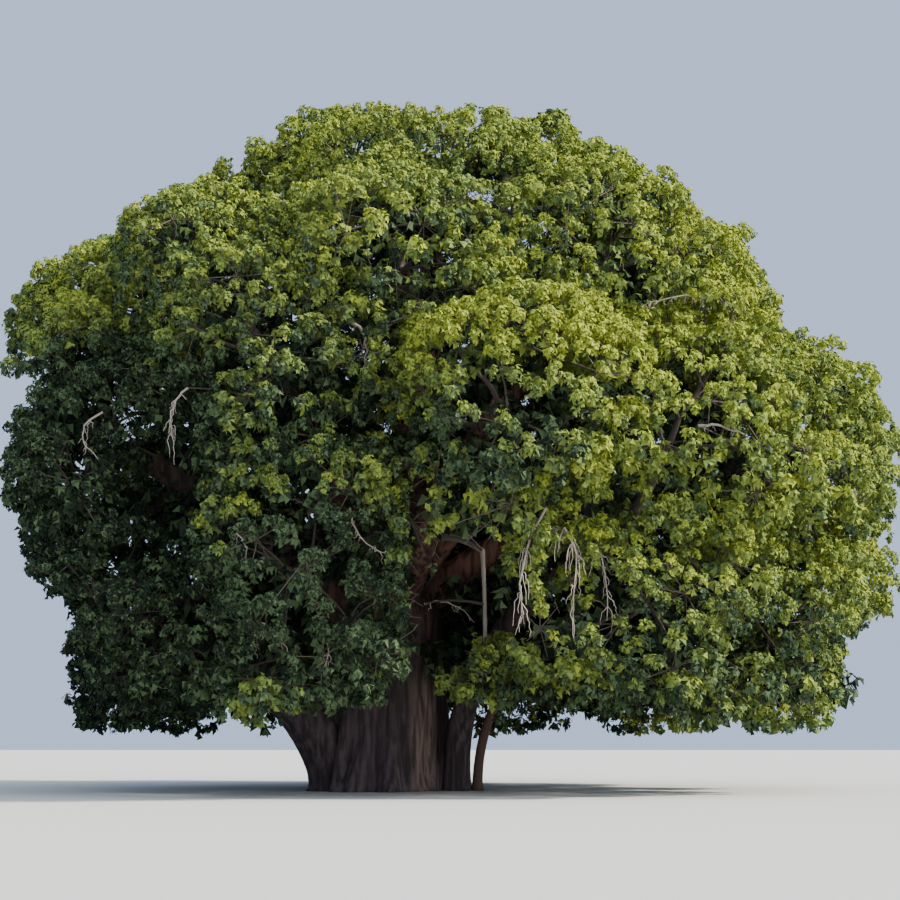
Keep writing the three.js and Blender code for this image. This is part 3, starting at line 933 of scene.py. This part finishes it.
# Openings where the near foliage is parted: middle and half sizes in pixels, and depth in metres
OPENINGS = [
    (425, 292, 30, 8, 1.8), (363, 350, 9, 16, 1.2), (228, 456, 9, 9, 1.5), (182, 415, 13, 15, 1.3),
    (88, 442, 12, 16, 1.3), (365, 532, 15, 11, 1.2), (262, 648, 13, 15, 1.2), (330, 655, 8, 12, 1.2),
    (522, 602, 13, 38, 1.6), (562, 580, 19, 44, 1.6), (605, 592, 10, 42, 1.4), (690, 305, 16, 6, 1),
    (728, 430, 16, 5, 1), (545, 650, 10, 22, 2), (140, 480, 20, 16, 1.6), (300, 380, 12, 9, 1.2),
]

# The dark hollow by the trunk and what shows in front of it: middle and half sizes in pixels,
# and how far back, as y in metres, nothing grows
HOLLOWS = [
    (462, 548, 40, 24, -1.6), (484, 605, 12, 36, -4.8), (448, 612, 27, 62, -3),
    (420, 602, 11, 92, -2.4), (419, 506, 12, 34, -1.7),
    (318, 736, 40, 28, -1), (456, 738, 44, 40, -0.6),
]


def on_crown(px, py, inside):
    """The point that far inside the crown where it is seen at a pixel."""
    d = unit(ray(px, py))
    hit = solid.ray_cast(Vector(CAMERA_PLACE), Vector(d))[0]
    return np.array(hit) + d * inside


def kept_leaves(points, margin):
    """Which leaves stay, with the gaps, openings and hollows left free in ragged outlines."""
    px, py = to_pixel(points)
    ragged = 0.6 + 0.8 * noise(points * 1.7)
    keep = points[:, 2] > LOWEST_LEAF + 0.3 * noise(points * 0.9 + 40)
    for x, y, rx, ry in SKY_GAPS:
        keep &= in_ellipse(px, py, x, y, rx + margin, ry + margin) > ragged
    for x, y, rx, ry, depth in OPENINGS:
        clear = in_ellipse(px, py, x, y, rx, ry) > ragged
        keep &= clear | (points[:, 1] > on_crown(x, y, depth)[1])
    for *ellipse, back in HOLLOWS:
        keep &= (in_ellipse(px, py, *ellipse) > ragged) | (points[:, 1] > back)
    return keep


# Leaves

# A leaf's leaflets: the angles between them, their lengths and half widths as shares, and how
# far they droop. They differ at random, and each is twisted to one side.
LEAFLETS = 5
LEAFLET_ANGLES = np.radians([-108, -54, 0, 54, 108])
LEAFLET_SHARES = np.array([0.76, 0.94, 1.0, 0.94, 0.76])
LEAFLET_WIDTH = 0.56
LEAFLET_DROOP = (0.15, 1.15)

# Leaves of each kind of spray: how many, how far from its middle and how long in metres, and how
# wide a margin they leave round the gaps, in pixels
BRIGHT_LEAVES = (14, 0.17, 0.152, 3)
SHADOWED_LEAVES = (10, 0.17, 0.18, 3)
BACK_LEAVES = (7, 0.17, 0.25, 3)
BEHIND_LEAVES = (6, 0.3, 0.235, 4)
BEHIND_SUNK_LEAVES = (10, 0.3, 0.24, 4)
RAISED_LEAVES = (12, 0.4, 0.28, 5)
CORE_LEAVES = (18, 0.65, 0.34, 7)
INNER_LEAVES = (10, 0.75, 0.46, 8)
INSIDE_LEAVES = (12, 0.7, 0.42, 8)
GOLDEN_ANGLE = 2.39996

# Looks, as painted light and shade: what a spray scores for the sunny or shaded side of its mass,
# for facing up, being sunk and standing out, and the scores below which it gets one look darker
SIDE_LIGHT = {"leaves_sunny": 0.62, "leaves_green": 0.0, "leaves_shaded": -0.7}
UP_SCORE = 1.8
LEVEL = 0.45
BASE_SCORE = 0.8
SUNK_SCORE = 1.1
RELIEF_SCORE = 0.3
LOOK_STEPS = np.array([1.9, 1.1, 0.35, -0.4, -1.1, -3.4])


def vary(looks, steps):
    """Looks a step lighter or darker at random, where leaves in deep shade stay dark."""
    lightest = np.where(looks >= INNER_LOOK - 1, INNER_LOOK - 1, 0)
    return np.clip(looks + rng.choice(steps, looks.shape), lightest, INNER_LOOK)


def grow_leaves(place, normal, ahead, length, looks, pile):
    """Leaves of five pointed leaflets each, spread like the fingers of a hand."""
    n = len(place)
    normal = unit(normal)
    ahead = unit(ahead - normal * (ahead * normal).sum(1)[:, None])
    angle = LEAFLET_ANGLES + rng.normal(0, 0.12, (n, LEAFLETS))
    size = length[:, None] * LEAFLET_SHARES * rng.uniform(0.85, 1.12, (n, LEAFLETS))
    size = size[..., None]
    droop = rng.uniform(*LEAFLET_DROOP, (n, LEAFLETS))
    flat = spun(ahead, np.cross(normal, ahead), angle)
    tip_way = flat * np.cos(droop)[..., None] - normal[:, None] * np.sin(droop)[..., None]
    twist = rng.normal(0, 0.6, (n, LEAFLETS, 1))
    side = unit(np.cross(normal[:, None], flat))
    side = side * np.cos(twist) + normal[:, None] * np.sin(twist)
    bulge = np.where(rng.random((n, LEAFLETS, 1)) < 0.5, LEAFLET_WIDTH, -LEAFLET_WIDTH)
    bulge = bulge * size * side
    start = place[:, None] + 0.04 * size * flat - 0.15 * bulge
    shoulder = place[:, None] + 0.55 * size * tip_way + 0.85 * bulge
    tip = place[:, None] + size * tip_way - 0.1 * bulge
    verts = np.stack([start, shoulder, tip], 2)
    looks = vary(np.repeat(looks[:, None], LEAFLETS, 1), [-1, 0, 0, 0, 0, 1])
    pile.add(verts, np.arange(n * LEAFLETS * 3), looks.ravel())


def rosettes(place, axis, leaves, petiole, length):
    """Where the leaves of each spray sit, and how they lie: like an umbrella."""
    turn = rng.uniform(0, ABOUT_A_TURN, (len(place), 1)) + np.arange(leaves) * GOLDEN_ANGLE
    turn = turn + rng.normal(0, 0.25, turn.shape)
    share = (np.arange(leaves) + 0.5) / leaves
    lean = np.radians(12 + 76 * share**0.7) + rng.normal(0, 0.12, turn.shape)
    across = unit(np.cross(axis, [0.31, 0.17, 0.93]))
    around = spun(across, np.cross(axis, across), turn)
    way = around * np.sin(lean)[..., None] + axis[:, None] * np.cos(lean)[..., None]
    base = place[:, None] + way * (petiole * rng.uniform(0.6, 1.15, turn.shape))[..., None]
    base[..., 2] -= 0.10 * rng.random(turn.shape) * share
    normal = unit(way * 0.6 + UP * 0.6 + rng.normal(0, 0.16, way.shape))
    ahead = around + way * 0.3 - UP * 0.55 + rng.normal(0, 0.15, way.shape)
    size = length * rng.uniform(0.78, 1.15, turn.shape)
    return base.reshape(-1, 3), normal.reshape(-1, 3), ahead.reshape(-1, 3), size.reshape(-1)


slot_of = {row["node"]: row["material_slot"] for row in frame["record"]["subparts"]}
side_light_of = np.array([SIDE_LIGHT[slot_of[node]] for node in mass_nodes])
pile_of = [slot_of[node] + "_" + node.split("_")[1] for node in mass_nodes]
piles = {name: Pile() for name in pile_of}
owners_of = {name: [n for n, p in zip(mass_nodes, pile_of) if p == name] for name in piles}


def leaf_out(places, axes, owners_here, looks, leaves, petiole, length, margin):
    """Gives each spray its leaves, in the pile of its mass."""
    where, normal, ahead, size = rosettes(places, axes, leaves, petiole, length)
    looks, owners_here = np.repeat(looks, leaves), np.repeat(owners_here, leaves)
    looks = vary(looks, [-1, 0, 0, 0, 1])
    keep = kept_leaves(where, margin)
    for n, name in enumerate(pile_of):
        mine = keep & (owners_here == n)
        grow_leaves(where[mine], normal[mine], ahead[mine], size[mine], looks[mine], piles[name])


clump_tone = rng.normal(0, 0.25, len(clump_centre))
lobe_tone = rng.normal(0, 0.45, len(lobe_top))
score = (
    UP_SCORE * (spray_axis[:, 2] - LEVEL)
    + BASE_SCORE
    - SUNK_SCORE * sink[spray_clump]
    + RELIEF_SCORE * clump_relief[spray_clump]
    + clump_shade[spray_clump]
    + clump_tone[spray_clump]
    + lobe_tone[clump_lobe[spray_clump]]
    + side_light_of[spray_owner]
    + rng.normal(0, 0.2, len(spray_place))
)
spray_look = (score[:, None] < LOOK_STEPS).sum(1)
spray_normal = clump_normal[spray_clump]
back = (spray_normal[:, 1] > 0.3) | (spray_normal[:, 2] < -0.4)
shadowed = ~back & (sink[spray_clump] > 0.6)
bright = ~back & ~shadowed
for group, kind in ((bright, BRIGHT_LEAVES), (shadowed, SHADOWED_LEAVES), (back, BACK_LEAVES)):
    leaf_out(spray_place[group], spray_axis[group], spray_owner[group], spray_look[group], *kind)

# Larger leaves on the limbs behind close the crown. Their darker looks are painted shade: darker
# still in sunk clumps and deep inside, lighter where the side and area are painted light
behind = clump_centre - clump_normal * 0.25
behind_look = 3.4 - 1.2 * (side_light_of[clump_owner] + clump_shade) + rng.normal(0, 0.5, len(behind))
behind_look = np.clip(behind_look, 2, INNER_LOOK - 1).astype(int)
sunk = sink >= RECESS
for group, kind in ((~sunk, BEHIND_LEAVES), (sunk, BEHIND_SUNK_LEAVES)):
    group_look = behind_look[group] + sunk[group]
    leaf_out(behind[group], clump_axis[group], clump_owner[group], group_look, *kind)
raised = thinned(np.where(clump_relief > RAISED_RELIEF)[0], clump_place, RAISED_SPACING)
raised_place = clump_place[raised] - clump_normal[raised] * 0.25
raised_look = np.full(len(raised), INNER_LOOK - 1)
leaf_out(raised_place, clump_axis[raised], clump_owner[raised], raised_look, *RAISED_LEAVES)
core_place = np.concatenate([lobe_core, shut_place])
core_axis = np.concatenate([unit(lobe_normal + UP * 0.5), shut_axis])
core_owner = np.concatenate([lobe_owner, shut_owner[shut_clumps]])
core_look = rng.normal(5.2 - 0.8 * (side_light_of[core_owner] + shade(core_place)), 0.5)
core_look = np.clip(core_look, 4, INNER_LOOK).astype(int)
leaf_out(core_place, core_axis, core_owner, core_look, *CORE_LEAVES)
inner_owner = spot_owner[inner_clumps]
light = side_light_of[inner_owner] + shade(inner_place) > 0
inner_look = np.where(light, INNER_LOOK - 1, INNER_LOOK)
leaf_out(inner_place, inner_axis, inner_owner, inner_look, *INNER_LEAVES)

# Foliage along the main boughs and round the space under the crown darkens the inside: its
# leaves take the darkest look, as painted shade
BOUGH_SPRAYS = 30
LOWEST_INSIDE = 3.7
SKIRT_SPRAYS = 170
SKIRT_REACH = (6.0, 9.0)
SKIRT_HEIGHTS = (2.9, 5.2)
SKIRT_BEARINGS = (-0.35, math.pi + 0.6)
# Curtains of foliage behind the trunk, in the darkest look as painted shade: middle and half
# sizes in pixels, nearest and farthest y and lowest z in metres, and how many sprays
CURTAINS = [
    (492, 632, 48, 48, -2.2, 4.5, 3.4, 110), (484, 566, 58, 28, 1, 4.5, 3.4, 60),
    (440, 640, 30, 50, 2.4, 4.5, 3.4, 40),
    (620, 665, 70, 46, -2, 4, 2.9, 60), (280, 655, 60, 40, 0, 4, 3.2, 40),
    (632, 290, 36, 22, -6, 0, 9, 34), (166, 636, 20, 16, -6, 0, 2.9, 12),
    (298, 372, 30, 26, -6, 0, 9, 24), (460, 205, 75, 36, -3, 3, 11, 36),
    (312, 670, 24, 16, -4, 2, 2.6, 14), (625, 640, 50, 22, -3, 3, 2.9, 20),
    (795, 690, 44, 26, -4, 2, 2.5, 26), (690, 600, 40, 18, -4, 2, 3.4, 20),
    (748, 572, 20, 16, -5, 1, 4, 12), (608, 600, 18, 16, -4, 2, 3.4, 10),
    (700, 598, 20, 14, -5, 1, 3.4, 10), (738, 556, 18, 14, -5, 1, 4, 8),
    (690, 424, 34, 14, -6, 0, 8, 16), (66, 432, 20, 20, -7, -1, 7, 14),
    (114, 560, 14, 14, -5, 0, 4, 5),
]


def along_bough(line):
    """Places for dark foliage along a bough."""
    along = line[rng.integers(len(line) // 4, len(line), BOUGH_SPRAYS)]
    places = along + rng.normal(0, 1, along.shape) * [1.0, 1.0, 0.6] - UP * 0.5
    return places[places[:, 2] > LOWEST_INSIDE]


def curtain(px, py, rx, ry, near, far, lowest, number):
    """Places for dark foliage behind a part of the picture, between two depths."""
    side = rng.uniform(-1, 1, (number, 2)) * [rx, ry] + [px, py]
    places = [at_pixel(x, y, depth) for (x, y), depth in zip(side, rng.uniform(near, far, number))]
    return np.array([place for place in places if place[2] > lowest])


def skirt_ring():
    """Places for dark foliage round the back and the sides, under the crown."""
    bearing = rng.uniform(*SKIRT_BEARINGS, SKIRT_SPRAYS)
    far = rng.uniform(*SKIRT_REACH, SKIRT_SPRAYS)
    x = CROWN_X + far * np.cos(bearing)
    y = CROWN_DEPTH_SHARE * far * np.sin(bearing)
    return np.stack([x, y, rng.uniform(*SKIRT_HEIGHTS, SKIRT_SPRAYS)], -1)


inside_place = [along_bough(lines[name][0]) for name in BOUGHS]
inside_place += [curtain(*row) for row in CURTAINS]
inside_place = np.concatenate([*inside_place, skirt_ring()])
inside_axis = unit(UP + rng.normal(0, 0.3, inside_place.shape))
inside_owner = spot_owner[nearest(inside_place, spots)]
inside_look = np.full(len(inside_place), INNER_LOOK)
leaf_out(inside_place, inside_axis, inside_owner, inside_look, *INSIDE_LEAVES)

# The branches that carry them

# Branches of each kind: radius at the root, points, sides, and how far the middle rises
TO_MASS = (0.24, 16, 9, 0.16)
TO_LOBE = (0.1, 6, 6, 0.1)
TO_BARE_LIMB = (0.08, 8, 6, 0.1)
TO_INSIDE_LEAVES = (0.05, 4, 3, 0.1)

branch_pile, twig_pile = Pile(), Pile()
known_points = [np.concatenate([line for line, _ in lines.values()])]
known_radii = [np.concatenate([radii for _, radii in lines.values()])]


def grow_branch(end, thickest, points, sides, rise):
    """A branch from the nearest limb that leads outwards to its end."""
    spots_now, radii_now = np.concatenate(known_points), np.concatenate(known_radii)
    away = end - spots_now
    far = np.linalg.norm(away, axis=1)
    cost = far + 0.5 * np.maximum(0, -away[:, 2]) + np.where(radii_now < thickest * 0.6, 2, 0)
    i = int(np.argmin(np.where(far < 0.3, 50, cost)))
    start, first = spots_now[i], min(thickest, 0.8 * radii_now[i])
    bend = (start + end) / 2 + UP * rise * far[i] + rng.normal(0, 0.07 * far[i], 3)
    line = bezier(start, bend, end, points)
    add_tubes(branch_pile, line[None], first, 0.4 * first, sides)
    known_points.append(line[1:])
    known_radii.append(np.linspace(first, 0.4 * first, points)[1:])


bough_targets = {mass_of(name) for name in BOUGHS}
for place in PLACES:
    if place not in bough_targets:
        grow_branch(mass_centre(place), *TO_MASS)
for i in np.argsort(np.linalg.norm(lobe_core - mass_middle[lobe_owner], axis=1)):
    grow_branch(lobe_core[i], *TO_LOBE)

# Bare pale limbs: root, bend and tip in pixels, metres inside the crown, radius at the root, how
# far their twigs hang in metres, and how many twigs
BARE_LIMBS = [
    ((546, 508), (510, 572), (523, 612), 0.7, 0.042, 1, 18),
    ((536, 532), (588, 508), (572, 606), 0.6, 0.046, 1, 22),
    ((594, 544), (608, 560), (607, 620), 0.6, 0.032, 0.8, 11),
    ((424, 604), (452, 594), (474, 622), 3.5, 0.03, 0.3, 5),
    ((103, 412), (64, 430), (98, 458), 0.7, 0.036, 0.4, 8),
    ((188, 388), (164, 402), (174, 442), 0.7, 0.036, 0.7, 12),
    ((350, 322), (376, 334), (362, 372), 0.8, 0.055, 0.5, 9),
    ((392, 324), (372, 334), (352, 362), 0.7, 0.04, 0.3, 8),
    ((350, 508), (354, 542), (386, 554), 0.7, 0.034, 0.3, 9),
    ((258, 622), (286, 628), (289, 662), 0.6, 0.03, 0.4, 7),
    ((266, 624), (250, 634), (247, 662), 0.6, 0.03, 0.4, 7),
    ((324, 638), (334, 650), (322, 670), 0.6, 0.03, 0.3, 4),
    ((706, 298), (676, 292), (642, 306), 0.5, 0.03, 0.3, 14),
    ((698, 426), (720, 422), (744, 434), 0.5, 0.05, 0.2, 3),
    ((234, 532), (250, 540), (246, 562), 0.6, 0.03, 0.4, 5),
]
BARE_POINTS = 10
TWIG_POINTS = 9
TWIG_RADII = (0.016, 0.006)


def bare_limb(root, bend, tip, inside, radius, fall, number):
    """A leafless limb, with thin twigs that hang from it."""
    depth = on_crown(*root, inside)[1]
    start, middle, end = (at_pixel(px, py, depth) for px, py in (root, bend, tip))
    grow_branch(start, *TO_BARE_LIMB)
    line = bezier(start, middle, end, BARE_POINTS)
    line[1:] += rng.normal(0, 0.5 * radius, line[1:].shape)
    add_tubes(pale_pile, line[None], radius, 0.3 * radius, 6)
    knot = line[rng.integers(1, BARE_POINTS, number)]
    turn = rng.uniform(0, 2 * math.pi, number)
    aside = np.stack([np.cos(turn), 0.7 * np.sin(turn), np.zeros(number)], -1)
    t = np.linspace(0, 1, TWIG_POINTS)
    drop = fall * rng.uniform(0.3, 1.0, (number, 1)) * t ** rng.uniform(1.0, 1.5, (number, 1))
    out = 0.35 * fall * rng.uniform(0.1, 1.0, (number, 1)) * t**0.6
    twigs = knot[:, None] + aside[:, None] * out[..., None] - UP * drop[..., None]
    twigs += np.cumsum(rng.normal(0, 0.026, twigs.shape), 1) * (t > 0)[:, None]
    add_tubes(pale_pile, twigs, *TWIG_RADII, 4)


for row in BARE_LIMBS:
    bare_limb(*row)
for place in inside_place[kept_leaves(inside_place, 0)]:
    grow_branch(place, *TO_INSIDE_LEAVES)

# Thin branches lead from the lobes' cores to forks, twigs from there to each clump, and finer
# twigs to every other bright spray
FORK_SPACING = 1.5
FORK_DEPTH = 0.55
ARC_RISE = 0.12


def arcs(starts, ends, count):
    """Curved lines between pairs of points, a little crooked."""
    gap = np.linalg.norm(ends - starts, axis=1)[:, None]
    bends = (starts + ends) / 2 + UP * ARC_RISE * gap + rng.normal(0, 0.1, starts.shape) * gap
    t = np.linspace(0, 1, count)[None, :, None]
    return curve(t, starts[:, None], bends[:, None], ends[:, None])


forks = thin_out(clump_centre, FORK_SPACING)
fork_place = clump_centre[forks] - clump_normal[forks] * FORK_DEPTH
fork_start = lobe_core[nearest(fork_place, lobe_core)]
add_tubes(branch_pile, arcs(fork_start, fork_place, 4), 0.04, 0.024, 4)
twig_start = fork_place[nearest(clump_centre, fork_place)]
add_tubes(twig_pile, arcs(twig_start, clump_centre, 2), 0.022, 0.013, 3)
twiggy = np.where(bright)[0][::2]
twig_line = np.stack([clump_centre[spray_clump[twiggy]], spray_place[twiggy]], 1)
add_tubes(twig_pile, twig_line, 0.016, 0.009, 3)

# Pieces

for name, pile in piles.items():
    piece = pile.mesh(name, leaf_looks, False)
    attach(piece, "root")
    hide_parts(*owners_of[name])

pale_piece = pale_pile.mesh("pale_limbs", [pale_look, slim_look], True)
branch_piece = branch_pile.mesh("branches", [branch_look], True)
twig_piece = twig_pile.mesh("twigs", [twig_look], True)
for piece in (trunk_piece, bough_piece, pale_piece, branch_piece, twig_piece):
    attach(piece, "root")
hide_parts("trunk", *STEM_DETAIL)
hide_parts(*BOUGHS)
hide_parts("stem_right_slim", "limb_hanging_upper", "limb_hanging_lower")
